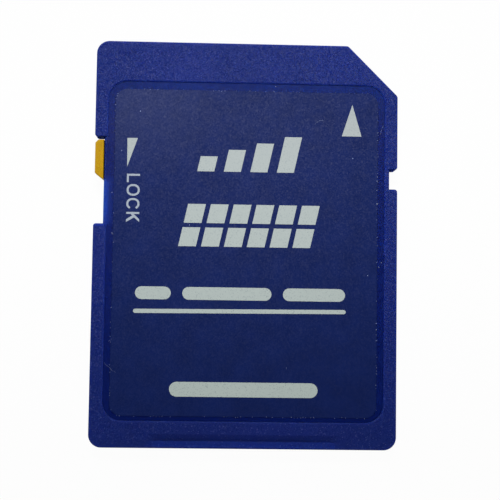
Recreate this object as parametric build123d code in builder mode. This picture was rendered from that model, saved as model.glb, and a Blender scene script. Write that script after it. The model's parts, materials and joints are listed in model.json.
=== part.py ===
from build123d import *
from math import cos, radians, sin, sqrt
import os

# A full-size memory card, in millimetres. X runs across the card, Y towards its contact end and
# Z up to its label face. The origin is the middle of the back face.

# Contact comb: slots open at the front edge, with ribs between them
slot_width = 1.9
rib_width = 0.6
narrow_slot_width = 1.3  # the last two contacts are narrower
narrow_rib_width = 0.4
step_rib_width = 0.825  # rib between the wide slots and the narrow ones
end_rib_width = 0.3  # wall outside the slot beside the slanted corner
comb_wall = 0.5  # wall behind the slots
ramp_length = 0.7  # lead-in under the front edge
ramp_rise = 0.4

# Contacts
contact_length = 4.5
contact_thickness = 0.04
contact_setback = 0.45  # from the board's front edge
slant_contact_setback = 0.1  # the ninth contact, from the board's slanted edge
contact_side_gap = 0.15
contact_end_gap = 0.3
contact_corner_bevel = 0.2

# Stack through the thickness, from the back face to the label face
back_wall = 0.35
under_board_room = 0.39
board_thickness = 0.3
chip_standoff = 0.03
chip_thickness = 0.6
chip_headroom = 0.07
roof_wall = 0.22
recess_depth = 0.14

# Plan outline
card_length = 32.0
corner_cut = 4.0
corner_radius = 1.0
slant_radius = 0.35
rail_width = 0.75  # thin rails along both long edges
side_wall = 0.4
front_wall = 0.6
rear_wall = 0.9
cavity_corner_radius = 0.6
edge_round = 0.12
back_edge_round = 0.15
seam_bevel = 0.03

# Notches: the lock notch is on the left edge and the catch notch on the right edge
lock_notch_setback = 7.67  # from the front edge
lock_notch_length = 6.88
catch_notch_setback = 9.91  # from the front edge
catch_notch_length = 1.56
catch_notch_depth = 0.65
notch_round = 0.22

# Sunk label field and its sticker
recess_side_margin = 1.035
recess_front_margin = 3.2
recess_rear_margin = 2.1
recess_radius = 1.45
recess_lip_round = 0.15
label_side_gap = 0.55
label_front_gap = 0.63
label_rear_gap = 0.37
label_radius = 0.9
label_thickness = 0.09

# Fingernail groove near the rear edge
groove_length = 15.0
groove_width = 0.55
groove_depth = 0.14
groove_steep_run = 0.08
groove_bottom_width = 0.04
groove_end_run = 0.9
groove_rear_margin = 0.56

# Lock slider: a thumb block outside, and a tongue through the wall with a flange behind it
slider_length = 3.09
slider_end_gap = 0.24  # left in front of it unlocked, and behind it locked
slider_floor_clearance = 0.04
slider_side_inset = 0.04
slider_face_inset = 0.05
slider_nail_slope = 0.45  # length of the slanted face that a nail pushes
slider_tail = 0.1
slider_corner_bevel = 0.25
slider_edge_round = 0.05
tongue_thickness = 0.34
tongue_clearance = 0.03
tongue_end_inset = 0.45
flange_thickness = 0.35
flange_lip = 0.2
flange_clearance = 0.05

# Circuit board and what holds it
board_clearance = 0.05
slider_board_gap = 0.15
post_edge = 1.2  # from the board's edges to a post's middle
post_radius = 0.7
pin_radius = 0.4
pin_clearance = 0.05
pin_tip_gap = 0.05
hold_down_gap = 0.02
support_rib_width = 0.5
support_rib_spacing = 8.0

# Chips and their bent leads
lead_width = 0.2
lead_thickness = 0.1
lead_spacing = 0.5
lead_foot = 0.4
lead_shoulder = 0.22
mould_draft = 8.0  # degrees
memory_body_length = 15.4
memory_leads_per_end = 24
memory_row_margin = 0.15  # from the last lead to the mould's corner
memory_lead_reach = 0.8  # from the mould to the lead's tip
memory_post_gap = 0.5
controller_leads_per_side = 12
controller_row_margin = 0.65
controller_lead_reach = 1.0
controller_front_gap = 1.0
controller_offset = 2.0
memory_dimple_radius = 0.45
memory_dimple_depth = 0.05
memory_dimple_edge = 1.0
controller_corner_bevel = 0.6  # marks the first lead

# Small parts on the board
passive_length = 1.0
passive_width = 0.5
capacitor_height = 0.5
resistor_height = 0.35
passive_end = 0.25
passive_end_step = 0.02
passive_spacing = 1.6
passive_rows = 4
passive_column_gap = 1.0

# Heights
board_bottom = back_wall + under_board_room
contact_plane = board_bottom - contact_thickness
board_top = board_bottom + board_thickness
chip_bottom = board_top + chip_standoff
chip_middle = chip_bottom + chip_thickness / 2
ceiling = chip_bottom + chip_thickness + chip_headroom
recess_floor = ceiling + roof_wall
card_top = recess_floor + recess_depth
seam = (contact_plane + card_top) / 2

# Contact places across the card: the fourth contact lies on the centre line
wide_order = [9, 1, 2, 3, 4, 5, 6]
wide_pitch = slot_width + rib_width
contact_x = {n: (wide_order.index(4) - wide_order.index(n)) * wide_pitch for n in wide_order}
contact_x[7] = contact_x[6] - slot_width / 2 - step_rib_width - narrow_slot_width / 2
contact_x[8] = contact_x[7] - narrow_slot_width - narrow_rib_width
contact_slot = {n: slot_width if n in wide_order else narrow_slot_width for n in contact_x}

# Plan limits. A slanted corner lies on the line where x + y is the named sum.
half_width = contact_x[9] + slot_width / 2 + end_rib_width + rail_width
front = card_length / 2
rear = -front
slant = half_width + front - corner_cut
back_half = half_width - rail_width
cavity_half = back_half - side_wall
cavity_front = front - front_wall
cavity_rear = rear + rear_wall
cavity_slant = slant - front_wall * sqrt(2)
board_half = cavity_half - board_clearance
board_front = cavity_front - board_clearance
board_rear = cavity_rear + board_clearance
board_slant = cavity_slant - board_clearance * sqrt(2)

# Contact places along the card: the ninth is set back for the slanted corner
contact_front = {n: board_front - contact_setback for n in contact_x}
contact_nine_edge = contact_x[9] + slot_width / 2 - contact_side_gap
contact_front[9] = board_slant - contact_nine_edge - slant_contact_setback
slot_end = {n: contact_front[n] - contact_length - contact_end_gap for n in contact_x}

# Notch, slider and label places
lock_front = front - lock_notch_setback
lock_rear = lock_front - lock_notch_length
catch_front = front - catch_notch_setback
catch_rear = catch_front - catch_notch_length
slider_front = lock_front - slider_end_gap
slider_rear = slider_front - slider_length
travel = slider_rear - lock_rear - slider_end_gap
tongue_front = slider_front - tongue_end_inset
tongue_rear = slider_rear + tongue_end_inset
slit_bottom = seam - tongue_thickness - 2 * tongue_clearance
flange_outer = -cavity_half + flange_clearance
flange_inner = flange_outer + flange_thickness
recess_left = recess_side_margin - half_width
recess_front = front - recess_front_margin
recess_rear = rear + recess_rear_margin

# Post places on the board
post_x = board_half - post_edge
rear_posts = [(-post_x, board_rear + post_edge), (post_x, board_rear + post_edge)]
front_posts = [(-post_x, board_front - post_edge), (post_x, board_slant - board_half - post_edge)]


def slanted_outline(half, y_rear, y_front, slant_sum, corner, slant_corner):
    """A plan outline with its front right corner cut along the line x + y = slant_sum."""
    with BuildSketch() as outline:
        with BuildLine():
            FilletPolyline(
                (-half, y_rear),
                (half, y_rear),
                (half, slant_sum - half),
                (slant_sum - y_front, y_front),
                (-half, y_front),
                radius=[corner, corner, slant_corner, slant_corner, corner],
                close=True,
            )
        make_face()
    return outline.sketch


def rectangle_between(x_from, x_to, y_from, y_to, mode=Mode.ADD):
    """A rectangle given by its sides, drawn in the open sketch."""
    with Locations(((x_from + x_to) / 2, (y_from + y_to) / 2)):
        return Rectangle(abs(x_to - x_from), abs(y_to - y_from), mode=mode)


def lead_planes(centre, angles, count):
    """One upright plane for each lead, in rows that leave a chip's middle at the given angles."""
    planes = []
    for angle in angles:
        out = Vector(cos(radians(angle)), sin(radians(angle)))
        row = Plane(origin=(*centre, 0), x_dir=out, z_dir=out.cross(Vector(0, 0, 1)))
        planes += [row.offset((i - (count - 1) / 2) * lead_spacing) for i in range(count)]
    return planes


def lead_profile(body_half, reach):
    """Side view of a bent lead: out of the mould, down to the board and along it."""
    tip_half = body_half + reach
    foot_height = board_top + lead_thickness / 2
    with BuildSketch() as profile:
        with BuildLine() as bend:
            Polyline(
                (body_half, chip_middle),
                (body_half + lead_shoulder, chip_middle),
                (tip_half - lead_foot, foot_height),
                (tip_half, foot_height),
            )
        trace(bend.line, line_width=lead_thickness)
    return profile.sketch


os.makedirs("parts", exist_ok=True)

# Plan outline of the rails, with the lock notch on the left and the catch notch on the right
catch_floor = half_width - catch_notch_depth
with BuildSketch() as rail_outline:
    with BuildLine():
        FilletPolyline(
            (-half_width, rear),
            (half_width, rear),
            (half_width, catch_rear),
            (catch_floor, catch_rear),
            (catch_floor, catch_front),
            (half_width, catch_front),
            (half_width, slant - half_width),
            (slant - front, front),
            (-half_width, front),
            (-half_width, lock_front),
            (-back_half, lock_front),
            (-back_half, lock_rear),
            (-half_width, lock_rear),
            radius=[
                corner_radius,
                corner_radius,
                notch_round,
                0,
                0,
                notch_round,
                slant_radius,
                slant_radius,
                corner_radius,
                notch_round,
                0,
                0,
                notch_round,
            ],
            close=True,
        )
    make_face()

back_outline = slanted_outline(back_half, rear, front, slant, corner_radius, slant_radius)
cavity_outline = slanted_outline(
    cavity_half, cavity_rear, cavity_front, cavity_slant, cavity_corner_radius, slant_radius
)
board_outline = slanted_outline(
    board_half, board_rear, board_front, board_slant, cavity_corner_radius, slant_radius
)

# Lower shell: the contact-side half of the case
with BuildPart() as lower_shell:
    # Rails up to the seam
    with BuildSketch(Plane.XY.offset(contact_plane)):
        add(rail_outline.sketch)
    extrude(amount=seam - contact_plane)
    chamfer(lower_shell.faces().sort_by(Axis.Z)[-1].outer_wire().edges(), seam_bevel)
    # Narrower body below the rails
    with BuildSketch():
        add(back_outline)
    extrude(amount=contact_plane)
    fillet(lower_shell.faces().sort_by(Axis.Z)[0].edges(), back_edge_round)
    # Lead-in ramps under the front edge and the slanted edge
    with BuildSketch(Plane.YZ):
        with BuildLine():
            Polyline((front - ramp_length, 0), (front, 0), (front, ramp_rise), close=True)
        make_face()
    extrude(amount=half_width, both=True, mode=Mode.SUBTRACT)
    slant_middle = (half_width - corner_cut / 2, front - corner_cut / 2, 0)
    with BuildSketch(Plane(origin=slant_middle, x_dir=(1, 1, 0), z_dir=(1, -1, 0))):
        with BuildLine():
            Polyline((-ramp_length, 0), (0, 0), (0, ramp_rise), close=True)
        make_face()
    extrude(amount=corner_cut, both=True, mode=Mode.SUBTRACT)
    # Room for the board, and the well behind the comb with its ribs and posts left standing
    with BuildSketch(Plane.XY.offset(board_bottom)):
        add(cavity_outline)
    extrude(amount=seam - board_bottom, mode=Mode.SUBTRACT)
    well_front = slot_end[1] - comb_wall
    block_left = contact_x[9] - slot_width / 2 - comb_wall
    with BuildSketch(Plane.XY.offset(back_wall)):
        add(cavity_outline)
        rectangle_between(-half_width, half_width, well_front, front, mode=Mode.SUBTRACT)
        rectangle_between(block_left, half_width, slot_end[9] - comb_wall, front, mode=Mode.SUBTRACT)
        with GridLocations(support_rib_spacing, 0, 2, 1):
            Rectangle(support_rib_width, card_length, mode=Mode.SUBTRACT)
        with Locations(*rear_posts):
            Circle(post_radius, mode=Mode.SUBTRACT)
    extrude(amount=under_board_room, mode=Mode.SUBTRACT)
    # Pins that locate the board
    with BuildSketch(Plane.XY.offset(board_bottom)):
        with Locations(*rear_posts):
            Circle(pin_radius)
    extrude(amount=board_thickness - pin_tip_gap)
    # Contact slots
    with BuildSketch():
        for n, x in contact_x.items():
            rectangle_between(x - contact_slot[n] / 2, x + contact_slot[n] / 2, slot_end[n], card_length)
    extrude(amount=board_bottom, mode=Mode.SUBTRACT)
    # Slit in the lock notch's floor for the slider's tongue
    with BuildSketch(Plane.XY.offset(slit_bottom)):
        rectangle_between(
            -half_width,
            -cavity_half,
            tongue_rear - travel - tongue_clearance,
            tongue_front + tongue_clearance,
        )
    extrude(amount=seam - slit_bottom, mode=Mode.SUBTRACT)
lower_shell.part.label = "lower_shell"
export_step(lower_shell.part, "parts/lower_shell.step")

# Upper shell: the label-side half of the case
with BuildPart() as upper_shell:
    with BuildSketch(Plane.XY.offset(seam)):
        add(rail_outline.sketch)
    extrude(amount=recess_floor - seam)
    chamfer(upper_shell.faces().sort_by(Axis.Z)[0].outer_wire().edges(), seam_bevel)
    lip_middle = (-back_half, (lock_rear + lock_front) / 2, recess_floor)
    fillet(upper_shell.edges().sort_by_distance(lip_middle)[0], recess_lip_round)
    # Rim round the sunk label field, open at the lock notch
    with BuildSketch(Plane.XY.offset(recess_floor)):
        add(rail_outline.sketch)
        with Locations((0, (recess_front + recess_rear) / 2)):
            RectangleRounded(
                -2 * recess_left, recess_front - recess_rear, recess_radius, mode=Mode.SUBTRACT
            )
        rectangle_between(-half_width, recess_left + notch_round, lock_rear, lock_front, mode=Mode.SUBTRACT)
    extrude(amount=recess_depth)
    fillet(upper_shell.faces().sort_by(Axis.Z)[-1].edges(), edge_round)
    # Fingernail groove: a long slope and a steep wall to pull on, running out at both ends
    groove_rear = rear + groove_rear_margin
    bottom_rear = groove_rear + groove_steep_run
    bottom_half = groove_length / 2 - groove_end_run
    with BuildSketch(Plane.XY.offset(card_top)):
        rectangle_between(-groove_length / 2, groove_length / 2, groove_rear, groove_rear + groove_width)
    with BuildSketch(Plane.XY.offset(card_top - groove_depth)):
        rectangle_between(-bottom_half, bottom_half, bottom_rear, bottom_rear + groove_bottom_width)
    loft(ruled=True, mode=Mode.SUBTRACT)
    # Room inside, and the posts that hold the board down
    with BuildSketch(Plane.XY.offset(seam)):
        add(cavity_outline)
    extrude(amount=ceiling - seam, mode=Mode.SUBTRACT)
    with BuildSketch(Plane.XY.offset(board_top + hold_down_gap)):
        with Locations(*rear_posts, *front_posts):
            Circle(post_radius)
    extrude(amount=ceiling - board_top - hold_down_gap)
upper_shell.part.label = "upper_shell"
export_step(upper_shell.part, "parts/upper_shell.step")

# Lock slider
with BuildPart() as lock_slider:
    block_outer = slider_side_inset - half_width
    block_inner = -back_half - slider_floor_clearance
    with BuildSketch(Plane.XY.offset(contact_plane + slider_face_inset)):
        with BuildLine():
            Polyline(
                (block_inner, slider_front),
                (block_outer + slider_corner_bevel, slider_front),
                (block_outer, slider_front - slider_corner_bevel),
                (block_outer, slider_rear + slider_nail_slope),
                (block_inner - slider_tail, slider_rear),
                (block_inner, slider_rear),
                close=True,
            )
        make_face()
    extrude(amount=card_top - contact_plane - 2 * slider_face_inset)
    fillet(lock_slider.edges().filter_by(Plane.XY), slider_edge_round)
    # Tongue and flange
    with BuildSketch(Plane.XY.offset(slit_bottom + tongue_clearance)):
        rectangle_between(block_inner, flange_inner, tongue_rear, tongue_front)
    extrude(amount=tongue_thickness)
    with BuildSketch(Plane.XY.offset(slit_bottom - flange_lip)):
        rectangle_between(flange_outer, flange_inner, tongue_rear, tongue_front)
    extrude(amount=seam - slit_bottom + 2 * flange_lip)
lock_slider.part.label = "lock_slider"
export_step(lock_slider.part, "parts/lock_slider.step")

# Label
label_front = recess_front - label_front_gap
label_rear = recess_rear + label_rear_gap
with BuildPart() as label:
    with BuildSketch(Plane.XY.offset(recess_floor)):
        with Locations((0, (label_front + label_rear) / 2)):
            RectangleRounded(
                -2 * (recess_left + label_side_gap), label_front - label_rear, label_radius
            )
    extrude(amount=label_thickness)
label.part.label = "label"
export_step(label.part, "parts/label.step")

# Circuit board, cut away beside the slider's flange
with BuildPart() as circuit_board:
    with BuildSketch(Plane.XY.offset(board_bottom)):
        add(board_outline)
        rectangle_between(
            -half_width,
            flange_inner + slider_board_gap,
            tongue_rear - travel - slider_board_gap,
            tongue_front + slider_board_gap,
            mode=Mode.SUBTRACT,
        )
        with Locations(*rear_posts):
            Circle(pin_radius + pin_clearance, mode=Mode.SUBTRACT)
    extrude(amount=board_thickness)
circuit_board.part.label = "circuit_board"
export_step(circuit_board.part, "parts/circuit_board.step")

# Gold contacts under the board
for n, x in contact_x.items():
    with BuildPart() as contact:
        contact_half = contact_slot[n] / 2 - contact_side_gap
        with BuildSketch(Plane.XY.offset(contact_plane)) as pad:
            rectangle_between(
                x - contact_half, x + contact_half, contact_front[n] - contact_length, contact_front[n]
            )
            chamfer(pad.vertices(), contact_corner_bevel)
        extrude(amount=contact_thickness)
    contact.part.label = f"contact_{n}"
    export_step(contact.part, f"parts/contact_{n}.step")

# Moulded chips: a straight band where the leads leave, with drafted faces above and below
memory_body_width = (memory_leads_per_end - 1) * lead_spacing + lead_width + 2 * memory_row_margin
memory_centre = (0, rear_posts[0][1] + post_radius + memory_post_gap + memory_body_width / 2)
controller_row = (controller_leads_per_side - 1) * lead_spacing + lead_width
controller_body = controller_row + 2 * controller_row_margin
controller_half_span = controller_body / 2 + controller_lead_reach
controller_centre = (controller_offset, board_front - controller_front_gap - controller_half_span)
band_bottom = chip_middle - lead_thickness / 2
cap_height = (chip_thickness - lead_thickness) / 2

with BuildPart() as memory_chip:
    with BuildSketch(Plane.XY.offset(band_bottom)):
        with Locations(memory_centre):
            Rectangle(memory_body_length, memory_body_width)
    extrude(amount=lead_thickness)
    extrude(memory_chip.faces().sort_by(Axis.Z)[-1], amount=cap_height, taper=mould_draft)
    extrude(memory_chip.faces().sort_by(Axis.Z)[0], amount=cap_height, taper=mould_draft)
    with BuildSketch(Plane.XY.offset(chip_bottom + chip_thickness)):
        with Locations(memory_centre):
            with Locations(
                (memory_dimple_edge - memory_body_length / 2, memory_body_width / 2 - memory_dimple_edge)
            ):
                Circle(memory_dimple_radius)
    extrude(amount=-memory_dimple_depth, mode=Mode.SUBTRACT)
memory_chip.part.label = "memory_chip"
export_step(memory_chip.part, "parts/memory_chip.step")

with BuildPart() as memory_chip_leads:
    with BuildSketch(*lead_planes(memory_centre, (0, 180), memory_leads_per_end)):
        add(lead_profile(memory_body_length / 2, memory_lead_reach))
    extrude(amount=lead_width / 2, both=True)
memory_chip_leads.part.label = "memory_chip_leads"
export_step(memory_chip_leads.part, "parts/memory_chip_leads.step")

with BuildPart() as controller_chip:
    with BuildSketch(Plane.XY.offset(band_bottom)) as mould:
        with Locations(controller_centre):
            Rectangle(controller_body, controller_body)
        chamfer(mould.vertices().group_by(Axis.Y)[-1].sort_by(Axis.X)[0], controller_corner_bevel)
    extrude(amount=lead_thickness)
    extrude(controller_chip.faces().sort_by(Axis.Z)[-1], amount=cap_height, taper=mould_draft)
    extrude(controller_chip.faces().sort_by(Axis.Z)[0], amount=cap_height, taper=mould_draft)
controller_chip.part.label = "controller_chip"
export_step(controller_chip.part, "parts/controller_chip.step")

with BuildPart() as controller_chip_leads:
    with BuildSketch(*lead_planes(controller_centre, (0, 90, 180, 270), controller_leads_per_side)):
        add(lead_profile(controller_body / 2, controller_lead_reach))
    extrude(amount=lead_width / 2, both=True)
controller_chip_leads.part.label = "controller_chip_leads"
export_step(controller_chip_leads.part, "parts/controller_chip_leads.step")

# Capacitors and resistors, in two columns beside the controller
column_x = controller_centre[0] - controller_half_span - passive_column_gap - passive_length / 2
columns = {"capacitors": (column_x, capacitor_height)}
columns["resistors"] = (column_x - passive_length - passive_column_gap, resistor_height)
for name, (x, height) in columns.items():
    with BuildPart() as passives:
        with BuildSketch(Plane.XY.offset(board_top)):
            with Locations((x, controller_centre[1])):
                with GridLocations(0, passive_spacing, 1, passive_rows):
                    Rectangle(passive_length, passive_width - 2 * passive_end_step)
        extrude(amount=height - passive_end_step)
        with BuildSketch(Plane.XY.offset(board_top)):
            with Locations((x, controller_centre[1])):
                with GridLocations(passive_length - passive_end, passive_spacing, 2, passive_rows):
                    Rectangle(passive_end, passive_width)
        extrude(amount=height)
    passives.part.label = name
    export_step(passives.part, f"parts/{name}.step")
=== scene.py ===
# %% [markdown]
# # A full-size memory card
#
# The card is a thin blue plastic case, welded from two halves, with a printed film in a sunk field and a
# small yellow slider that locks it against writing. The solids arrive finished and at their real size, so
# this lesson only dresses them: it gives every piece its finish, prints the film, and lets the dust of a few
# years settle along its cut edges.

# %% Load the solids
import json
from math import copysign, cos, pi, radians, sin

import bmesh
import bpy
from mathutils import Matrix, Vector


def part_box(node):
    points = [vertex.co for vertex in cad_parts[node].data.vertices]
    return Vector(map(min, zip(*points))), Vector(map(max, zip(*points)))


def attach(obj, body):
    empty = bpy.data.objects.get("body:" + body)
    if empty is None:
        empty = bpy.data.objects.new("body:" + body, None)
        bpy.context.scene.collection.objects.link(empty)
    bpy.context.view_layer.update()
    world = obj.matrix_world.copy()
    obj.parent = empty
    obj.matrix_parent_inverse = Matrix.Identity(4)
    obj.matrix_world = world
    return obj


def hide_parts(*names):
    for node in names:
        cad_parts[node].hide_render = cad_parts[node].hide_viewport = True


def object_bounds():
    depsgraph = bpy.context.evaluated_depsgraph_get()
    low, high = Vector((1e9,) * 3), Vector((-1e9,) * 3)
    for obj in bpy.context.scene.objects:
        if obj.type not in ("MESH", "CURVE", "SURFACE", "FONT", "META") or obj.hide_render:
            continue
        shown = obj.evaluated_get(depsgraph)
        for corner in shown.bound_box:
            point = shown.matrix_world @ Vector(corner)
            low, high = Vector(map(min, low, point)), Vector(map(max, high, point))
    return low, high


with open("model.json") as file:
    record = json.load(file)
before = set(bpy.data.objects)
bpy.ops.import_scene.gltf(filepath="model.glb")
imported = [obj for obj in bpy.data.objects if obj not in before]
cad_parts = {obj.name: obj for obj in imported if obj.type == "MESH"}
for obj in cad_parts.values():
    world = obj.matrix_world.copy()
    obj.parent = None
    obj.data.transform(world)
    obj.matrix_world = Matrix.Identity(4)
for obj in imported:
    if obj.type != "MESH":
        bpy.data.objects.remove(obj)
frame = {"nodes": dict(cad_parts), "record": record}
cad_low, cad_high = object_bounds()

MM = 0.001
nodes = frame["nodes"]
print("solids:", len(nodes), "size in mm:", [round(x / MM, 2) for x in cad_high - cad_low])

# %% [markdown]
# ## Camera
#
# The card was photographed from straight above, with the camera tipped by a few degrees. Its place could be
# found by trial, but a tipped camera makes the far edge of a rectangle look shorter, so the tilt can be read
# from the picture's own corners. The lens is a short telephoto, and the middle of the label face lies almost
# on its axis.

# %% Place the camera
lens_mm, sensor_mm = 72.0, 36.0
nearest_mm = 1.0
camera_tilt = {"X": 3.53, "Y": -1.75, "Z": 0.91}
face_from_camera = Vector((-0.355, 0.48, -78.72)) * MM

turn = Matrix.Identity(3)
for axis, angle in camera_tilt.items():
    turn = turn @ Matrix.Rotation(radians(angle), 3, axis)
label_face = Vector((0, 0, cad_high.z))
camera = bpy.data.objects.new("camera", bpy.data.cameras.new("camera"))
camera.data.lens = lens_mm
camera.data.sensor_width = sensor_mm
camera.data.clip_start = nearest_mm * MM
camera.matrix_world = Matrix.Translation(label_face - turn @ face_from_camera) @ turn.to_4x4()
scene = bpy.context.scene
scene.collection.objects.link(camera)
scene.camera = camera
scene.view_settings.view_transform = "Standard"
print("camera in mm:", [round(x / MM, 1) for x in camera.location])

# %% [markdown]
# ## Small helpers for node trees
#
# Materials and Geometry Nodes are both graphs: a node, its settings, and what feeds each of its sockets. They
# could be wired by hand in the editor, but a few short functions write such a graph line by line, so that it
# can be read and run again. A value goes straight onto a socket, and the output of another node is linked to
# it.

# %% Write nodes and links
def put(tree, kind, feeds=None, **settings):
    """Adds a node, and feeds its sockets with values or with the outputs of other nodes."""
    node = tree.nodes.new(kind)
    for setting, value in settings.items():
        setattr(node, setting, value)
    for socket, value in (feeds or {}).items():
        if isinstance(value, bpy.types.NodeSocket):
            tree.links.new(value, node.inputs[socket])
        else:
            node.inputs[socket].default_value = value
    return node


def reckon(tree, operation, first, second=0.0, third=0.0):
    """One step of arithmetic in a node tree."""
    return put(tree, "ShaderNodeMath", {0: first, 1: second, 2: third}, operation=operation).outputs[0]


def split(tree, vector):
    """The X, Y and Z of a vector, as three outputs."""
    return put(tree, "ShaderNodeSeparateXYZ", {0: vector}).outputs


def joined(tree, x=0.0, y=0.0, z=0.0):
    """A vector made of three values."""
    return put(tree, "ShaderNodeCombineXYZ", {0: x, 1: y, 2: z}).outputs[0]


def vector_step(tree, operation, feeds):
    """One step of vector arithmetic in a node tree."""
    return put(tree, "ShaderNodeVectorMath", feeds, operation=operation).outputs


# %% Start a finish
finishes = {}


def new_finish(name, **values):
    """A new material: its node tree, and its Principled shader with the plain values set."""
    material = bpy.data.materials.new(name)
    material.use_nodes = True
    surface = material.node_tree.nodes["Principled BSDF"]
    for socket, value in values.items():
        surface.inputs[socket.replace("_", " ")].default_value = value
    return material, material.node_tree, surface


def feed(tree, surface, **looks):
    """Links what other nodes give to the sockets of a shader, with _ for a space in their names."""
    for socket, value in looks.items():
        tree.links.new(value, surface.inputs[socket.replace("_", " ")])


def keep(name, material):
    """Files a finish under the name that the record knows it by."""
    finishes[name] = material
    print(name, "is made of", len(material.node_tree.nodes), "nodes")


def linear(red, green, blue):
    """A colour as a screen shows it, 0 to 255, in the linear light that shaders work in."""
    shares = [c / 255 for c in (red, green, blue)]
    return [s / 12.92 if s <= 0.04045 else ((s + 0.055) / 1.055) ** 2.4 for s in shares] + [1.0]


# %% Textures that several finishes share
# nearly all of a noise lies between these two values
noise_low, noise_high = 0.3, 0.7


def place_on(tree):
    """The object's own coordinates, in metres."""
    return put(tree, "ShaderNodeTexCoord").outputs["Object"]


def noise(tree, place, feature_mm, detail=2.0):
    """Cloudy noise, with features about so many millimetres across."""
    feeds = {"Vector": place, "Scale": 1 / (feature_mm * MM), "Detail": detail}
    return put(tree, "ShaderNodeTexNoise", feeds).outputs[0]


def stretched(tree, place, x=1.0, y=1.0, z=1.0):
    """The same place, scaled along each axis: a texture grows long along an axis that is scaled down."""
    return put(tree, "ShaderNodeMapping", {"Vector": place, "Scale": (x, y, z)}).outputs[0]


def spread(tree, share, low, high, to_low=0.0, to_high=1.0):
    """Stretches the part of a value between low and high to a new range."""
    feeds = {"Value": share, 1: low, 2: high, 3: to_low, 4: to_high}
    return put(tree, "ShaderNodeMapRange", feeds).outputs[0]


def cloudy(tree, place, span, feature_mm):
    """A value that drifts over a span, from its least to its most, in soft clouds."""
    return spread(tree, noise(tree, place, feature_mm), noise_low, noise_high, *span)


def shades(tree, share, dark, light):
    """A colour that drifts from dark to light as a noise rises."""
    node = put(tree, "ShaderNodeValToRGB", {"Fac": share})
    stops = zip(node.color_ramp.elements, (noise_low, noise_high), (dark, light))
    for element, position, colour in stops:
        element.position = position
        element.color = linear(*colour)
    return node.outputs["Color"]


def mixed(tree, share, first, second):
    """A colour between two others."""
    return put(tree, "ShaderNodeMix", {0: share, 6: first, 7: second}, data_type="RGBA").outputs[2]


def bumped(tree, surface, height, depth_mm):
    """Gives a shader a surface that rises by so many millimetres where the height is 1."""
    bump = put(tree, "ShaderNodeBump", {"Height": height, "Distance": depth_mm * MM, "Strength": 1.0})
    feed(tree, surface, Normal=bump.outputs[0])


# %% [markdown]
# ## Floor, room and lamp
#
# A white sweep under soft light is the plainest studio there is. More light could make it white, but it would
# bleach the card too, so the floor and the walls are white only where the camera sees them, straight or in a
# mirror. The ceiling is dark, because a flat face that looks up mirrors it, and a bright one would lay grey
# haze over the dark blue. What falls on the card is an even, soft light, and one lamp that stands past its
# contact end and fades towards its rear, as the light in the picture does.

# %% What is seen, straight or mirrored
def seen_share(tree):
    """1 for a ray that shows the studio to the camera, 0 for one that only brings its light."""
    rays = put(tree, "ShaderNodeLightPath").outputs
    seen = reckon(tree, "MAXIMUM", rays["Is Camera Ray"], rays["Is Glossy Ray"])
    return reckon(tree, "MAXIMUM", seen, rays["Is Transmission Ray"])


# %% The floor
floor_half = 0.6
floor_drop = 0.02 * MM
floor_white = (0.9, 0.9, 0.9, 1.0)
floor_glow = 0.965

floor_mesh = bpy.data.meshes.new("floor")
corners = [(x * floor_half, y * floor_half, -floor_drop) for x, y in ((-1, -1), (1, -1), (1, 1), (-1, 1))]
floor_mesh.from_pydata(corners, [], [(0, 1, 2, 3)])
floor = bpy.data.objects.new("floor", floor_mesh)
scene.collection.objects.link(floor)

paper, tree, surface = new_finish(
    "floor_paper", Base_Color=floor_white, Roughness=0.9, Specular_IOR_Level=0.1
)
glow = put(tree, "ShaderNodeEmission", {"Strength": 1.0})
share = reckon(tree, "MULTIPLY", seen_share(tree), floor_glow)
both = put(tree, "ShaderNodeMixShader", {0: share, 1: surface.outputs[0], 2: glow.outputs[0]})
tree.links.new(both.outputs[0], tree.nodes["Material Output"].inputs["Surface"])
floor_mesh.materials.append(paper)
print("floor:", 2 * floor_half, "m wide, lying", round(floor_drop / MM, 3), "mm under the card")

# %% The room
ceiling_shown = 0.04
soft_light = 0.33
wall_top, ceiling_start = sin(radians(16)), sin(radians(38))

room = bpy.data.worlds.new("room")
room.use_nodes = True
tree = room.node_tree
direction = put(tree, "ShaderNodeTexCoord").outputs["Generated"]
shown = spread(tree, split(tree, direction)["Z"], wall_top, ceiling_start, 1.0, ceiling_shown)
light = put(tree, "ShaderNodeMix", {0: seen_share(tree), 2: soft_light, 3: shown}).outputs[0]
background = tree.nodes["Background"]
background.inputs["Color"].default_value = (1, 1, 1, 1)
feed(tree, background, Strength=light)
scene.world = room
print("room: soft light of", soft_light, "and a ceiling that shows as", ceiling_shown)

# %% The lamp
lamp_place = Vector((-4, 66, 110)) * MM
lamp_aim = Vector((0, 11, 2)) * MM
lamp_radius = 25 * MM
lamp_watts = 0.71
lamp_cone = radians(21.5)
lamp_stretch = (2.5, 1, 1)

lamp = bpy.data.objects.new("lamp", bpy.data.lights.new("lamp", "SPOT"))
lamp.data.energy = lamp_watts
lamp.data.shadow_soft_size = lamp_radius
lamp.data.spot_size = lamp_cone
lamp.data.spot_blend = 1.0
lamp.location = lamp_place
lamp.scale = lamp_stretch
lamp.rotation_euler = (lamp_aim - lamp_place).to_track_quat("-Z", "Y").to_euler()
scene.collection.objects.link(lamp)
print("lamp stands", round((lamp_aim - lamp_place).length / MM), "mm from the card")
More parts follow.
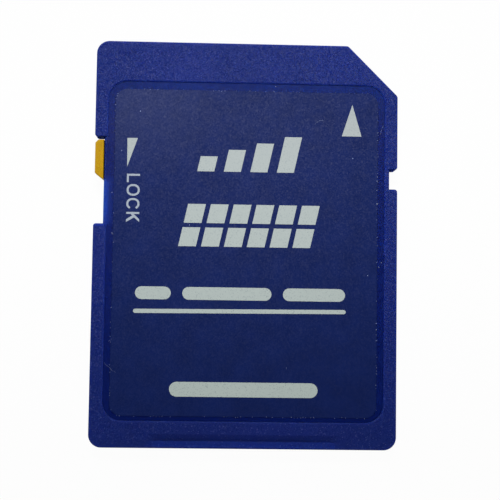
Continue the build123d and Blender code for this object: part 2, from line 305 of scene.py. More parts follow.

# %% [markdown]
# ## Blue case plastic
#
# The case is dyed through and slightly translucent: light creeps a fraction of a millimetre into it, blue
# light the furthest, and further where the plastic is thin. At the lip by the lock notch and along the edge
# behind the nail groove a brighter blue is painted on, as painted glow. Its mould was spark eroded, which
# leaves a grain less than a tenth of a millimetre wide. Each grain is a tiny facet with its own tilt, so some
# of them catch the lamp and sparkle, and a few grains are painted a pale blue, as painted glints. The floor
# of the sunk field was polished in the mould instead, so that the film sticks to it: there the grain is
# fainter, and handling has left its front end rougher. That floor is painted a deeper blue, as painted shade,
# and a brighter blue at its front end, as painted glow. The upright sides and the nail groove are painted
# darker, as painted shade, and the walls of the sunk field lighter, as painted light. Each area could have a
# material of its own, but the case is one moulding, so one material asks where each point lies.

# %% Where a point lies
def between(tree, along, low, high, fade):
    """1 between two places along an axis, in millimetres, and 0 past them, with a soft change."""
    rising = spread(tree, along, (low - fade) * MM, (low + fade) * MM)
    falling = spread(tree, along, (high + fade) * MM, (high - fade) * MM)
    return reckon(tree, "MULTIPLY", rising, falling)


def patch(tree, place, across, along, fades):
    """1 on a patch seen from above, given by its ranges along X and Y in millimetres, and 0 elsewhere."""
    at = split(tree, place)
    in_width = between(tree, at["X"], *across, fades[0])
    in_length = between(tree, at["Y"], *along, fades[1])
    return reckon(tree, "MULTIPLY", in_width, in_length)


def on_steep_sides(tree):
    """0 on level faces, rising to 1 where a face stands upright."""
    level_to, steep_from = 0.95, 0.6
    outward = put(tree, "ShaderNodeNewGeometry").outputs["Normal"]
    return spread(tree, reckon(tree, "ABSOLUTE", split(tree, outward)["Z"]), level_to, steep_from)


# %% How its grain glints
middle_grey = (0.5, 0.5, 0.5)


def facets(tree, place, facet_mm):
    """A random colour for each of many tiny facets."""
    feeds = {"Vector": place, "Scale": 1 / (facet_mm * MM)}
    return put(tree, "ShaderNodeTexVoronoi", feeds).outputs["Color"]


def tip(tree, surface, cells, tilt):
    """Tips every facet its own way."""
    lean = vector_step(tree, "SUBTRACT", {0: cells, 1: middle_grey})[0]
    lean = vector_step(tree, "SCALE", {0: lean, "Scale": tilt})[0]
    upright = put(tree, "ShaderNodeNewGeometry").outputs["Normal"]
    leaning = vector_step(tree, "ADD", {0: upright, 1: lean})[0]
    feed(tree, surface, Normal=vector_step(tree, "NORMALIZE", {0: leaning})[0])


# %% The places on the case
case_patches = {
    "field": ((-11.095, 11.095), (-14.03, 12.93), (0.001, 0.001)),
    "lip": ((-13.0, -10.65), (1.45, 5.0), (0.35, 0.3)),
    "nail_edge": ((-7.2, 7.2), (-15.86, -15.42), (0.5, 0.04)),
    "nail_groove": ((-7.2, 7.2), (-15.42, -14.9), (0.5, 0.04)),
}
field_floor, floor_play = 1.96 * MM, 0.02 * MM
# the front end of the field floor: rougher from handling, and painted a brighter blue as painted glow
dulled_from, dulled_to = 9.0 * MM, 12.4 * MM


def places_on_case(tree, place):
    """How far a point belongs to each place on the case, from 0 to 1."""
    at = {name: patch(tree, place, *lies) for name, lies in case_patches.items()}
    steep = on_steep_sides(tree)
    level = reckon(tree, "COMPARE", split(tree, place)["Z"], field_floor, floor_play)
    at["floor"] = reckon(tree, "MULTIPLY", at["field"], level)
    at["dulled"] = spread(tree, split(tree, place)["Y"], dulled_from, dulled_to)
    at["walls"] = reckon(tree, "MULTIPLY", steep, at["field"])
    sides = reckon(tree, "SUBTRACT", steep, at["walls"])
    at["sides"] = reckon(tree, "MULTIPLY", sides, reckon(tree, "SUBTRACT", 1.0, at["nail_edge"]))
    thin = reckon(tree, "MAXIMUM", at["lip"], at["nail_edge"])
    at["thin"] = reckon(tree, "MAXIMUM", thin, at["walls"])
    return at


print("places on the case:", len(case_patches), "patches, read together with height and slope")

# %% Its colour
grained_blue = (22, 42, 121), (26, 46, 131)
# the floor of the sunk field: a deeper blue as painted shade, and a brighter blue at its front end as painted
# glow
painted_shade_floor_blue = (4, 25, 104), (6, 29, 113)
dulled_blue = (2, 32, 113), (4, 36, 121)
# a few grains are painted a pale blue, as painted glints
painted_glint_blue, painted_glint_from, painted_glint_share = (120, 132, 196), 0.92, 0.2
# colours that paint shade on the sides, light on the field walls, and glow where the case is thin
painted_shade_blue, painted_light_wall_blue, painted_glow_blue = (17, 34, 110), (31, 52, 146), (24, 54, 165)
# painted glow at the lip and along the nail edge, and painted shade in the nail groove
painted_glow_and_shade = ("lip", 0.8, painted_glow_blue), ("nail_groove", 0.5, painted_shade_blue), ("nail_edge", 0.24, painted_glow_blue)


def case_colour(tree, place, at, grains):
    """The dyed plastic, with painted glints, painted shade and painted glow."""
    tint = noise(tree, place, feature_mm=5.0, detail=4.0)
    # painted glints: the palest grains get a pale blue
    painted_glint = put(tree, "ShaderNodeSeparateColor", {0: grains}).outputs["Red"]
    painted_glint = spread(tree, painted_glint, painted_glint_from, 1.0, 0.0, painted_glint_share)
    grained = mixed(tree, painted_glint, shades(tree, tint, *grained_blue), linear(*painted_glint_blue))
    # the upright sides are painted darker, as painted shade
    grained = mixed(tree, at["sides"], grained, linear(*painted_shade_blue))
    # the floor is painted a deeper blue, as painted shade
    floor_shade_and_glow = shades(tree, tint, *painted_shade_floor_blue)
    # towards the front end the floor is painted brighter, as painted glow
    floor_shade_and_glow = mixed(tree, at["dulled"], floor_shade_and_glow, shades(tree, tint, *dulled_blue))
    dyed = mixed(tree, at["floor"], grained, floor_shade_and_glow)
    # the walls of the sunk field are painted lighter, as painted light
    dyed = mixed(tree, at["walls"], dyed, linear(*painted_light_wall_blue))
    # painted glow at the lip and nail edge, and painted shade in the nail groove
    for name, share, colour in painted_glow_and_shade:
        dyed = mixed(tree, reckon(tree, "MULTIPLY", at[name], share), dyed, linear(*colour))
    return dyed


# %% The case finish
grain_mm, grain_tilt, polished_tilt = 0.075, 0.5, 0.1
grain_rough, sides_rougher = (0.36, 0.5), 0.5
polished_rougher, dulled_rougher = -0.06, 0.1
creep_plain, creep_thin = 0.7 * MM, 4.0 * MM


def case_plastic():
    material, tree, surface = new_finish(
        "case_plastic",
        Specular_IOR_Level=0.096,
        Subsurface_Weight=1.0,
        Subsurface_Radius=(0.3, 0.6, 1.0),
    )
    place = place_on(tree)
    at = places_on_case(tree, place)
    grains = facets(tree, place, grain_mm)
    rough = cloudy(tree, place, grain_rough, feature_mm=0.4)
    rough = reckon(tree, "MULTIPLY_ADD", at["sides"], sides_rougher, rough)
    rougher = spread(tree, at["dulled"], 0, 1, polished_rougher, dulled_rougher)
    rough = reckon(tree, "MULTIPLY_ADD", at["floor"], rougher, rough)
    creep = spread(tree, at["thin"], 0, 1, creep_plain, creep_thin)
    colour = case_colour(tree, place, at, grains)
    feed(tree, surface, Base_Color=colour, Roughness=rough, Subsurface_Scale=creep)
    tip(tree, surface, grains, spread(tree, at["floor"], 0, 1, grain_tilt, polished_tilt))
    return material


keep("case_plastic", case_plastic())

# %% [markdown]
# ## Yellow slider plastic
#
# The slider is moulded in a smooth golden yellow. Fingernails push it to and fro, so its face carries fine
# scuffs across the way it slides. They could be cut into the mesh one by one, but noise that is drawn out
# along one axis gives hundreds of them at once.

# %% The slider finish
slider_yellow = (187, 144, 0), (200, 156, 2)
scuff_mm, scuff_stretch, scuff_depth = 0.05, 0.15, 0.004
scuff_from, smooth_rough, scuffed_rough = 0.35, 0.36, 0.55


def slider_plastic():
    material, tree, surface = new_finish(
        "slider_plastic",
        Specular_IOR_Level=0.1,
        Subsurface_Weight=0.4,
        Subsurface_Scale=0.2 * MM,
        Subsurface_Radius=(1.0, 0.7, 0.2),
    )
    place = place_on(tree)
    colour = shades(tree, noise(tree, place, feature_mm=0.8, detail=4.0), *slider_yellow)
    scuffs = noise(tree, stretched(tree, place, x=scuff_stretch), scuff_mm, detail=3.0)
    rough = spread(tree, scuffs, scuff_from, noise_high, smooth_rough, scuffed_rough)
    feed(tree, surface, Base_Color=colour, Roughness=rough)
    bumped(tree, surface, scuffs, scuff_depth)
    return material


keep("slider_plastic", slider_plastic())

# %% [markdown]
# ## Label film and ink
#
# The film is a satin navy print on plastic. It is a little less deep than the case, it lets no light in, and
# it is greyer around one of its front corners. Its ink stands a hundredth of a millimetre proud and breaks up
# in fine pinholes, as screen printing does. The ink is painted lighter towards the rear and darker towards
# the front end, as painted light against the lamp's falloff, and in the legend beside the slider it is worn
# thin, so that the blue shines through. Such marks could be painted by hand, but a few soft patches over
# noise follow the piece at any size.

# %% The film finish
film_navy, haze_grey = ((9, 30, 89), (12, 34, 98)), (130, 138, 180)
haze_middle = Vector((-9.0, 12.0, 0.0)) * MM
haze_core, haze_reach, haze_share = 1.5 * MM, 7.5 * MM, 0.063
film_grain_mm, film_tilt, film_rough = 0.09, 0.2, (0.42, 0.52)


def label_film():
    material, tree, surface = new_finish("label_film", Specular_IOR_Level=0.122)
    place = place_on(tree)
    colour = shades(tree, noise(tree, place, feature_mm=1.5, detail=5.0), *film_navy)
    # the film is greyer around its front left corner
    away = vector_step(tree, "DISTANCE", {0: place, 1: haze_middle})["Value"]
    worn = spread(tree, away, haze_reach, haze_core, 0.0, haze_share)
    colour = mixed(tree, worn, colour, linear(*haze_grey))
    feed(tree, surface, Base_Color=colour, Roughness=cloudy(tree, place, film_rough, feature_mm=0.3))
    tip(tree, surface, facets(tree, place, film_grain_mm), film_tilt)
    return material


keep("label_film", label_film())

# %% The ink finish
# the ink is painted lighter towards the rear and darker towards the front, as painted light against the
# lamp's falloff
rear_lit_ink, front_shaded_ink, pinhole_ink = (196, 209, 204), (176, 184, 185), (142, 155, 161)
rear_lit_from, front_shaded_to = -11.4 * MM, 10.5 * MM
worn_ink, worn_share = (103, 115, 204), 0.2
worn_legend = (-9.7, -8.3), (1.2, 5.7), (0.1, 0.1)
pinhole_mm, pinhole_depth, pinhole_to, ink_from = 0.07, 0.004, 0.28, 0.42
ink_rough = 0.45, 0.6


def label_ink():
    material, tree, surface = new_finish("label_ink", Specular_IOR_Level=0.18)
    place = place_on(tree)
    # painted light: lighter towards the rear, darker towards the front
    front_shade = spread(tree, split(tree, place)["Y"], rear_lit_from, front_shaded_to)
    pale = mixed(tree, front_shade, linear(*rear_lit_ink), linear(*front_shaded_ink))
    worn = reckon(tree, "MULTIPLY", patch(tree, place, *worn_legend), worn_share)
    pale = mixed(tree, worn, pale, linear(*worn_ink))
    pinholes = noise(tree, place, pinhole_mm, detail=3.0)
    colour = mixed(tree, spread(tree, pinholes, pinhole_to, ink_from), linear(*pinhole_ink), pale)
    feed(tree, surface, Base_Color=colour, Roughness=cloudy(tree, place, ink_rough, feature_mm=0.3))
    bumped(tree, surface, pinholes, pinhole_depth)
    return material


keep("label_ink", label_ink())

# %% [markdown]
# ## What the case hides
#
# Through the contact slots one sees gold pads that sockets have wiped, and the green edge of the board behind
# them. The chips and small parts are never seen until the case is opened. They could stay plain, but each has
# its own finish, so that the card may be taken apart: noise at the right scale makes wipes along the pads,
# tracks under the board's green mask, the grain of moulded chips, and a dull skin on tin.

# %% Gold and board
pad_gold, wiped_gold = (226, 184, 92), (238, 208, 140)
board_green, track_green = ((18, 74, 40), (24, 86, 48)), (48, 122, 66)
lane_half, track_from, track_full = 0.2 * MM, 0.1 * MM, 0.12 * MM
pad_rough, wiped_rough, board_rough = 0.22, 0.4, (0.3, 0.42)


def contact_gold():
    material, tree, surface = new_finish("contact_gold", Metallic=1.0)
    place = place_on(tree)
    wipes = noise(tree, stretched(tree, place, y=0.02), feature_mm=0.03, detail=3.0)
    wiped = spread(tree, wipes, 0.5, 0.62)
    worn = reckon(tree, "MULTIPLY", wiped, spread(tree, noise(tree, place, feature_mm=2.0), 0.4, 0.6))
    colour = mixed(tree, worn, linear(*pad_gold), linear(*wiped_gold))
    rough = spread(tree, worn, 0, 1, pad_rough, wiped_rough)
    feed(tree, surface, Base_Color=colour, Roughness=rough)
    bumped(tree, surface, wipes, depth_mm=0.002)
    return material


def board_laminate():
    material, tree, surface = new_finish("board_laminate")
    place = place_on(tree)
    at = split(tree, place)
    across = reckon(tree, "PINGPONG", at["X"], lane_half)
    along = reckon(tree, "PINGPONG", at["Y"], lane_half)
    region = spread(tree, noise(tree, place, feature_mm=6.0), 0.48, 0.5)
    lanes = put(tree, "ShaderNodeMix", {0: region, 2: across, 3: along}).outputs[0]
    track = spread(tree, lanes, track_from, track_full)
    mask = shades(tree, noise(tree, place, feature_mm=3.0), *board_green)
    colour = mixed(tree, track, mask, linear(*track_green))
    feed(tree, surface, Base_Color=colour, Roughness=cloudy(tree, place, board_rough, feature_mm=0.2))
    bumped(tree, surface, track, depth_mm=0.02)
    return material


keep("contact_gold", contact_gold())
keep("board_laminate", board_laminate())

# %% Chips, leads and small parts
mould_black = (30, 30, 32), (44, 44, 46)
lead_grey, tin_grey = ((176, 177, 174), (212, 213, 210)), ((182, 182, 178), (214, 214, 210))
capacitor_tan, resistor_black = ((150, 118, 82), (182, 150, 110)), ((26, 26, 29), (44, 44, 48))
mould_rough, lead_rough, ceramic_rough = (0.55, 0.7), (0.3, 0.5), (0.35, 0.5)
capacitor_row, resistor_row = -4.0 * MM, -6.0 * MM
tinned_from = 0.24 * MM


def chip_mould():
    material, tree, surface = new_finish("chip_mould")
    place = place_on(tree)
    grain = noise(tree, place, feature_mm=0.08, detail=3.0)
    colour = shades(tree, grain, *mould_black)
    feed(tree, surface, Base_Color=colour, Roughness=cloudy(tree, place, mould_rough, feature_mm=0.5))
    bumped(tree, surface, grain, depth_mm=0.01)
    return material


def lead_tin():
    material, tree, surface = new_finish("lead_tin", Metallic=1.0)
    dull = noise(tree, place_on(tree), feature_mm=0.15, detail=4.0)
    rough = spread(tree, dull, noise_low, noise_high, *lead_rough)
    feed(tree, surface, Base_Color=shades(tree, dull, *lead_grey), Roughness=rough)
    bumped(tree, surface, dull, depth_mm=0.004)
    return material


def fired_ceramic(name, row, fired_colour):
    """A small part lying across the card: a fired body between two tinned ends."""
    material, tree, surface = new_finish(name)
    place = place_on(tree)
    off_centre = reckon(tree, "ABSOLUTE", reckon(tree, "SUBTRACT", split(tree, place)["X"], row))
    tinned = reckon(tree, "GREATER_THAN", off_centre, tinned_from)
    speckle = noise(tree, place, feature_mm=0.06, detail=3.0)
    fired, tin = shades(tree, speckle, *fired_colour), shades(tree, speckle, *tin_grey)
    rough = spread(tree, speckle, noise_low, noise_high, *ceramic_rough)
    feed(tree, surface, Base_Color=mixed(tree, tinned, fired, tin), Metallic=tinned, Roughness=rough)
    bumped(tree, surface, speckle, depth_mm=0.003)
    return material


keep("chip_mould", chip_mould())
keep("lead_tin", lead_tin())
keep("capacitor_ceramic", fired_ceramic("capacitor_ceramic", capacitor_row, capacitor_tan))
keep("resistor_ceramic", fired_ceramic("resistor_ceramic", resistor_row, resistor_black))

# %% [markdown]
# ## Dress the solids
#
# The solids keep their shapes, and the record names a finish for each of them. They could be dressed one at a
# time, but a loop over the record can't forget one.

# %% Swap the plain materials
for part in frame["record"]["subparts"]:
    mesh = nodes[part["node"]].data
    mesh.materials.clear()
    mesh.materials.append(finishes[part["material_slot"]])
print("dressed", len(nodes), "solids, with", len(finishes), "finishes at hand")

# %% [markdown]
# ## The film as a cut sheet
#
# A die cuts the film from a roll. Its outline is a rectangle with rounded corners, and under a lens the cut
# wavers by a hundredth of a millimetre. It could be modelled point by point, but a rule is easy to grow in
# Geometry Nodes: round the corners of a rectangle, walk along the outline in short steps, let noise nudge
# every step, fill the outline, and raise it to a sheet with a slightly pressed upper edge.

# %% A Geometry Nodes tree and its result
socket_kinds = {float: "NodeSocketFloat", int: "NodeSocketInt", bpy.types.Material: "NodeSocketMaterial"}


def new_tree(name, **inputs):
    """An empty Geometry Nodes tree with named inputs: the tree, its inputs, and its output node."""
    tree = bpy.data.node_groups.new(name, "GeometryNodeTree")
    tree.interface.new_socket("Geometry", in_out="INPUT", socket_type="NodeSocketGeometry")
    for label, value in inputs.items():
        tree.interface.new_socket(label, in_out="INPUT", socket_type=socket_kinds[type(value)])
    tree.interface.new_socket("Geometry", in_out="OUTPUT", socket_type="NodeSocketGeometry")
    return tree, put(tree, "NodeGroupInput").outputs, put(tree, "NodeGroupOutput")


def moved(tree, geometry, offset):
    """Geometry with its points moved by a vector."""
    return put(tree, "GeometryNodeSetPosition", {"Geometry": geometry, "Offset": offset}).outputs[0]


def dressed(tree, geometry, finish):
    """Geometry as one plain mesh with its material: the end of every tree here."""
    solid = put(tree, "GeometryNodeRealizeInstances", {0: geometry}).outputs[0]
    return put(tree, "GeometryNodeSetMaterial", {"Geometry": solid, "Material": finish}).outputs[0]


def grow(tree, points=(), **inputs):
    """Runs a tree on some points with its inputs set, and keeps the result as a plain mesh."""
    seeds = bpy.data.meshes.new(tree.name)
    seeds.from_pydata(points, [], [])
    piece = bpy.data.objects.new(tree.name, seeds)
    scene.collection.objects.link(piece)
    modifier = piece.modifiers.new(tree.name, "NODES")
    modifier.node_group = tree
    for socket in tree.interface.items_tree:
        if socket.name in inputs:
            modifier[socket.identifier] = inputs[socket.name]
    shown = piece.evaluated_get(bpy.context.evaluated_depsgraph_get())
    mesh = bpy.data.meshes.new_from_object(shown)
    piece.modifiers.clear()
    piece.data = mesh
    return piece


# %% The outline of the film
film_low, film_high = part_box("label")
film_corner, corner_steps = 0.9 * MM, 16
sheet_sizes = {
    "Width": film_high.x - film_low.x,
    "Length": film_high.y - film_low.y,
    "Middle": (film_low.y + film_high.y) / 2,
    "Corner": film_corner,
}


def outline(tree, given, step):
    """The film's outline, walked in even steps."""
    feeds = {"Width": given["Width"], "Height": given["Length"]}
    plain = put(tree, "GeometryNodeCurvePrimitiveQuadrilateral", feeds)
    feeds = {"Curve": plain.outputs[0], "Radius": given["Corner"], "Count": corner_steps}
    rounded = put(tree, "GeometryNodeFilletCurve", feeds, mode="POLY")
    feeds = {"Curve": rounded.outputs[0], "Length": step}
    walked = put(tree, "GeometryNodeResampleCurve", feeds, mode="LENGTH")
    return moved(tree, walked.outputs[0], joined(tree, y=given["Middle"]))


print("film in mm:", [round(x / MM, 3) for x in film_high - film_low])

# %% Cut the film
cut_step, waver_mm, weld_gap = 0.12 * MM, 0.5, 0.0001 * MM
film_sizes = {
    **sheet_sizes,
    "Base": film_low.z,
    "Thickness": film_high.z - film_low.z,
    "Pressed": 0.02 * MM,
    "Waver": 0.012 * MM,
    "Finish": finishes["label_film"],
}
tree, given, result = new_tree("printed_film", **film_sizes)
cut = outline(tree, given, cut_step)
nudge = put(tree, "ShaderNodeTexNoise", {"Scale": 1 / (waver_mm * MM), "Detail": 2.0}).outputs["Color"]
nudge = vector_step(tree, "SUBTRACT", {0: nudge, 1: middle_grey})[0]
reach = joined(tree, x=given["Waver"], y=given["Waver"])
nudge = vector_step(tree, "MULTIPLY", {0: nudge, 1: reach})[0]
cut = moved(tree, cut, nudge)
sheet = put(tree, "GeometryNodeFillCurve", {"Curve": cut}, mode="NGONS").outputs[0]
sheet = moved(tree, sheet, joined(tree, z=given["Base"]))

# %% Raise it to a closed sheet
wall = reckon(tree, "SUBTRACT", given["Thickness"], given["Pressed"])
raised = put(tree, "GeometryNodeExtrudeMesh", {"Mesh": sheet, "Offset Scale": wall, "Individual": False})
feeds = {"Mesh": raised.outputs["Mesh"], "Selection": raised.outputs["Top"], "Offset Scale": given["Pressed"]}
capped = put(tree, "GeometryNodeExtrudeMesh", {**feeds, "Individual": False})
narrowed = reckon(tree, "SUBTRACT", 1.0, reckon(tree, "DIVIDE", given["Pressed"], given["Width"]))
feeds = {"Geometry": capped.outputs["Mesh"], "Selection": capped.outputs["Top"], "Scale": narrowed}
capped = put(tree, "GeometryNodeScaleElements", feeds).outputs[0]
under = put(tree, "GeometryNodeFlipFaces", {"Mesh": sheet}).outputs[0]
closed = put(tree, "GeometryNodeJoinGeometry")
for half in (capped, under):
    tree.links.new(half, closed.inputs[0])
feeds = {"Geometry": closed.outputs[0], "Distance": weld_gap}
closed = put(tree, "GeometryNodeMergeByDistance", feeds).outputs[0]
tree.links.new(dressed(tree, closed, given["Finish"]), result.inputs[0])

film = grow(tree, **film_sizes)
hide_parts("label")
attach(film, "card")
print("film:", len(film.data.vertices), "points along its outlines")

# %% [markdown]
# ## The print
#
# The arrow shows the way into the socket. The small arrow and the word beside it belong to the slider, which
# locks the card when it is pushed towards the rear. Below them lie a level gauge, rows of blocks for stored
# pages, and plain bars where a maker would put words. Ink could be a pattern in the film's finish, but real
# ink has an edge, so it is drawn as flat filled curves and given the thickness of a screen print.

# %% A curve as a closed mesh
merge_distance = 0.0005 * MM


def as_mesh(name, drawing, finish, lift=0.0):
    """Turns a curve into a piece with a plain closed mesh, raised to its height."""
    drawn = bpy.data.objects.new(name + "_drawing", drawing)
    scene.collection.objects.link(drawn)
    mesh = bpy.data.meshes.new_from_object(drawn.evaluated_get(bpy.context.evaluated_depsgraph_get()))
    bpy.data.objects.remove(drawn)
    form = bmesh.new()
    form.from_mesh(mesh)
    bmesh.ops.remove_doubles(form, verts=form.verts, dist=merge_distance)
    bmesh.ops.translate(form, verts=form.verts, vec=(0, 0, lift))
    bmesh.ops.recalc_face_normals(form, faces=form.faces)
    print(name, "has", sum(len(edge.link_faces) != 2 for edge in form.edges), "open edges")
    form.to_mesh(mesh)
    form.free()
    mesh.materials.clear()
    mesh.materials.append(finish)
    piece = bpy.data.objects.new(name, mesh)
    scene.collection.objects.link(piece)
    return piece


# %% Round shapes to print
turn_steps, end_steps = 28, 12


def fuller(value, fullness):
    """A sine or cosine, pushed outwards as fullness falls below 1."""
    return copysign(abs(value) ** fullness, value)


def arc(centre, radius_x, radius_y, start, end, steps, fullness=1.0):
    """Points on an ellipse between two angles, in degrees; it grows squarer as fullness falls below 1."""
    angles = [radians(start + (end - start) * i / steps) for i in range(steps + 1)]
    reach = [(fuller(cos(a), fullness), fuller(sin(a), fullness)) for a in angles]
    return [(centre[0] + radius_x * x, centre[1] + radius_y * y) for x, y in reach]


def bar(left, right, low, high):
    """A bar with round ends."""
    half = (high - low) / 2
    ends = (right - half, low + half), (left + half, low + half)
    return arc(ends[0], half, half, -90, 90, end_steps) + arc(ends[1], half, half, 90, 270, end_steps)


def tilted(loop, slope):
    """The same outline, rising to the right."""
    return [(x, y + slope * x) for x, y in loop]


# %% The word beside the slider
letter_high, stroke, letter_fullness = 1.03, 0.155, 0.9
word_base = -9.42


def bowl(width, gap):
    """A round letter of the given width, open to the right by plus or minus the gap, in degrees."""
    centre = (width / 2, letter_high / 2)
    radii = width / 2, letter_high / 2
    inner = radii[0] - stroke, radii[1] - stroke
    turns = {"steps": turn_steps, "fullness": letter_fullness}
    if not gap:
        return [arc(centre, *radii, 0, 360, **turns)[:-1], arc(centre, *inner, 0, 360, **turns)[:-1]]
    return [arc(centre, *radii, gap, 360 - gap, **turns) + arc(centre, *inner, 360 - gap, gap, **turns)]


def lock_word():
    """The word beside the slider, written down the card: each letter's top points to the right."""
    h, s = letter_high, stroke
    ell = [[(0, 0), (0.67, 0), (0.67, s), (s, s), (s, h), (0, h)]]
    kay = [(0, 0), (s, 0), (s, 0.36), (0.28, 0.47), (0.585, 0), (0.795, 0)]
    kay = [kay + [(0.43, 0.62), (0.785, h), (0.565, h), (s, 0.59), (s, h), (0, h)]]
    shapes = []
    for start, letter in ((5.4, ell), (4.585, bowl(0.925, 0)), (3.48, bowl(0.9, 29)), (2.38, kay)):
        shapes += [[(word_base + up, start - along) for along, up in loop] for loop in letter]
    return shapes


# %% Blocks and bars
block_lean = 0.22


def leaning(left, low, wide, high):
    """A block that leans to the right."""
    lean = block_lean * high
    return [(left, low), (left + wide, low), (left + wide + lean, low + high), (left + lean, low + high)]


def gauge():
    """Four bars that grow, like the marks of a level gauge."""
    left, low, wide, pitch = -3.9, 5.7, 1.35, 2.1
    return [leaning(left + i * pitch, low, wide, high) for i, high in enumerate((1.2, 1.75, 2.3, 2.85))]


def pages():
    """Two rows of equal blocks, for stored pages."""
    left, low, wide, high, pitch, line = -5.3, -0.25, 1.4, 1.5, 1.8, 1.85
    return [
        leaning(left + block_lean * line * row + i * pitch, low + row * line, wide, high)
        for row in range(2)
        for i in range(6)
    ]


def words():
    """Three plain bars on one line, in the place of words."""
    low, high = -4.45, -3.45
    return [bar(left, right, low, high) for left, right in ((-8.6, -5.8), (-4.9, 2.1), (3.0, 7.9))]


# %% Print them
ink_sunk, ink_proud = 0.004 * MM, 0.012 * MM
rule_slope = 0.0075
prints = {
    "insert_arrow": [[(7.54, 8.7), (9.115, 8.7), (8.365, 11.24)]],
    "lock_arrow": [[(-9.44, 8.25), (-9.42, 5.95), (-8.62, 8.25)]],
    "lock_word": lock_word(),
    "rule": [tilted(bar(-8.72, 7.96, -5.475, -5.145), rule_slope)],
    "level_gauge": gauge(),
    "pages": pages(),
    "word_bars": words(),
    "maker_bar": [bar(-5.8, 5.8, -12.0, -10.85)],
}
drawing = bpy.data.curves.new("label_print", "CURVE")
drawing.dimensions = "2D"
drawing.fill_mode = "BOTH"
drawing.extrude = (ink_sunk + ink_proud) / 2
for loop in (loop for shapes in prints.values() for loop in shapes):
    spline = drawing.splines.new("POLY")
    spline.points.add(len(loop) - 1)
    spline.use_cyclic_u = True
    for point, (x, y) in zip(spline.points, loop):
        point.co = (x * MM, y * MM, 0, 1)
ink_lift = film_high.z + (ink_proud - ink_sunk) / 2
ink = as_mesh("label_print", drawing, finishes["label_ink"], lift=ink_lift)
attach(ink, "card")
print("print:", len(prints), "figures,", len(ink.data.polygons), "faces")

# %% [markdown]
# ## Lint along the edge
#
# Glue creeps out along the cut edge of a label and catches lint. Flecks could be set by hand, but they follow
# the film's outline, so they are grown along it: every step along the edge has a small chance of a fleck, and
# each one is turned and stretched at random.

# %% The lint finish
lint_pale = (112, 128, 182), (188, 200, 236)


def pale_lint():
    material, tree, surface = new_finish("pale_lint", Roughness=0.9, Specular_IOR_Level=0.1)
    clouds = noise(tree, place_on(tree), feature_mm=0.6, detail=2.0)
    feed(tree, surface, Base_Color=shades(tree, clouds, *lint_pale))
    return material


lint = pale_lint()
keep("pale_lint", lint)


# %% Flecks on points
def chance(tree, given, kind, output, feeds):
    """A random value for each point, drawn with the tree's own seed."""
    feeds = {**feeds, "Seed": given["Seed"]}
    return put(tree, "FunctionNodeRandomValue", feeds, data_type=kind).outputs[output]


def strewn(tree, given, points):
    """Sets a fleck on every point, each with its own turn and length, and hands them out as one mesh."""
    fleck = put(tree, "GeometryNodeMeshIcoSphere", {"Radius": 1.0, "Subdivisions": 2}).outputs[0]
    long = chance(tree, given, "FLOAT", 1, {2: given["Length Least"], 3: given["Length Most"]})
    size = joined(tree, long, given["Thick"], given["Thick"])
    spun = chance(tree, given, "FLOAT_VECTOR", 0, {0: (0, 0, 0), 1: (0, 0, 2 * pi)})
    feeds = {"Points": points, "Instance": fleck, "Rotation": spun, "Scale": size}
    flecks = put(tree, "GeometryNodeInstanceOnPoints", feeds).outputs[0]
    return dressed(tree, flecks, given["Finish"])


# %% Flecks along the edge
lint_sizes = {
    **sheet_sizes,
    "Height": film_high.z,
    "Step": 0.22 * MM,
    "Chance": 0.3,
    "Stray": 0.05 * MM,
    "Length Least": 0.013 * MM,
    "Length Most": 0.05 * MM,
    "Thick": 0.013 * MM,
    "Seed": 7,
    "Finish": lint,
}
tree, given, result = new_tree("edge_lint", **lint_sizes)
walked = outline(tree, given, given["Step"])
points = put(tree, "GeometryNodeCurveToPoints", {"Curve": walked}, mode="EVALUATED").outputs["Points"]
caught = chance(tree, given, "BOOLEAN", 3, {"Probability": given["Chance"]})
bare = put(tree, "FunctionNodeBooleanMath", {0: caught}, operation="NOT").outputs[0]
points = put(tree, "GeometryNodeDeleteGeometry", {"Geometry": points, "Selection": bare}).outputs[0]
aside = chance(tree, given, "FLOAT_VECTOR", 0, {0: (-1, -1, 0), 1: (1, 1, 0)})
aside = vector_step(tree, "SCALE", {0: aside, "Scale": given["Stray"]})[0]
aside = vector_step(tree, "ADD", {0: aside, 1: joined(tree, z=given["Height"])})[0]
points = moved(tree, points, aside)
tree.links.new(strewn(tree, given, points), result.inputs[0])

flecks = grow(tree, **lint_sizes)
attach(flecks, "card")
print("lint:", len(flecks.data.polygons), "faces")

# %% [markdown]
# ## Dust and hairs
#
# Single grains of dust and a few hairs lie where the picture shows them, on the film and in the gap beside
# it. They could be strewn at random, but the same flecks on chosen points keep the card the one in the
# picture. A hair is a thin tube along a smooth curve.

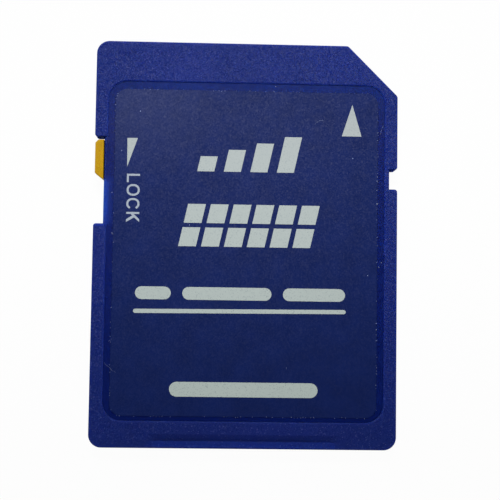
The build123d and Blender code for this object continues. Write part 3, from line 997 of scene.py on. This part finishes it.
# %% Grains of dust
dust_sizes = {
    "Length Least": 0.03 * MM,
    "Length Most": 0.055 * MM,
    "Thick": 0.031 * MM,
    "Seed": 3,
    "Finish": lint,
}
dust_on_film = [(-8.47, 10.4), (-9.87, 7.23), (8.43, 6.94), (9.68, -2.35), (-4.43, 1.43)]
dust_on_film += [(10.38, y) for y in (5.17, 4.41, 3.33, -6.1, -6.6, -7.45, -10.94)]
dust_in_field = [(10.77, -1.32), (10.57, -1.66), (-10.57, 3.9), (-10.5, 0.7), (2.23, 12.61)]
tree, given, result = new_tree("settled_dust", **dust_sizes)
tree.links.new(strewn(tree, given, given["Geometry"]), result.inputs[0])
grains = [(x * MM, y * MM, film_high.z) for x, y in dust_on_film]
grains += [(x * MM, y * MM, film_low.z) for x, y in dust_in_field]

dust = grow(tree, grains, **dust_sizes)
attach(dust, "card")
print("dust:", len(grains), "grains,", len(dust.data.polygons), "faces")

# %% Hairs
hair_radius = 0.0045 * MM
hairs_on_film = [
    [(5.34, 9.59), (5.56, 9.82), (5.8, 9.95), (6.06, 9.94)],
    [(-10.9, -9.44), (-10.47, -9.81), (-10.15, -10.12), (-9.95, -10.16)],
    [(-10.57, -7.78), (-10.44, -7.68), (-10.31, -7.56)],
    [(3.33, -9.6), (3.34, -9.7), (3.34, -9.8)],
]
hairs_in_field = [[(10.86, 9.64), (10.78, 9.4), (10.7, 9.19), (10.62, 8.91)]]

drawing = bpy.data.curves.new("hairs", "CURVE")
drawing.dimensions = "3D"
drawing.bevel_depth = hair_radius
drawing.bevel_resolution = 1
drawing.use_fill_caps = True
for height, hairs in ((film_high.z, hairs_on_film), (film_low.z, hairs_in_field)):
    for hair in hairs:
        spline = drawing.splines.new("NURBS")
        spline.points.add(len(hair) - 1)
        for point, (x, y) in zip(spline.points, hair):
            point.co = (x * MM, y * MM, height + hair_radius, 1)
        spline.order_u = 3
        spline.use_endpoint_u = True
hairs = as_mesh("hairs", drawing, lint)
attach(hairs, "card")
print("hairs:", len(drawing.splines), "of", 2 * hair_radius / MM, "mm,", len(hairs.data.polygons), "faces")
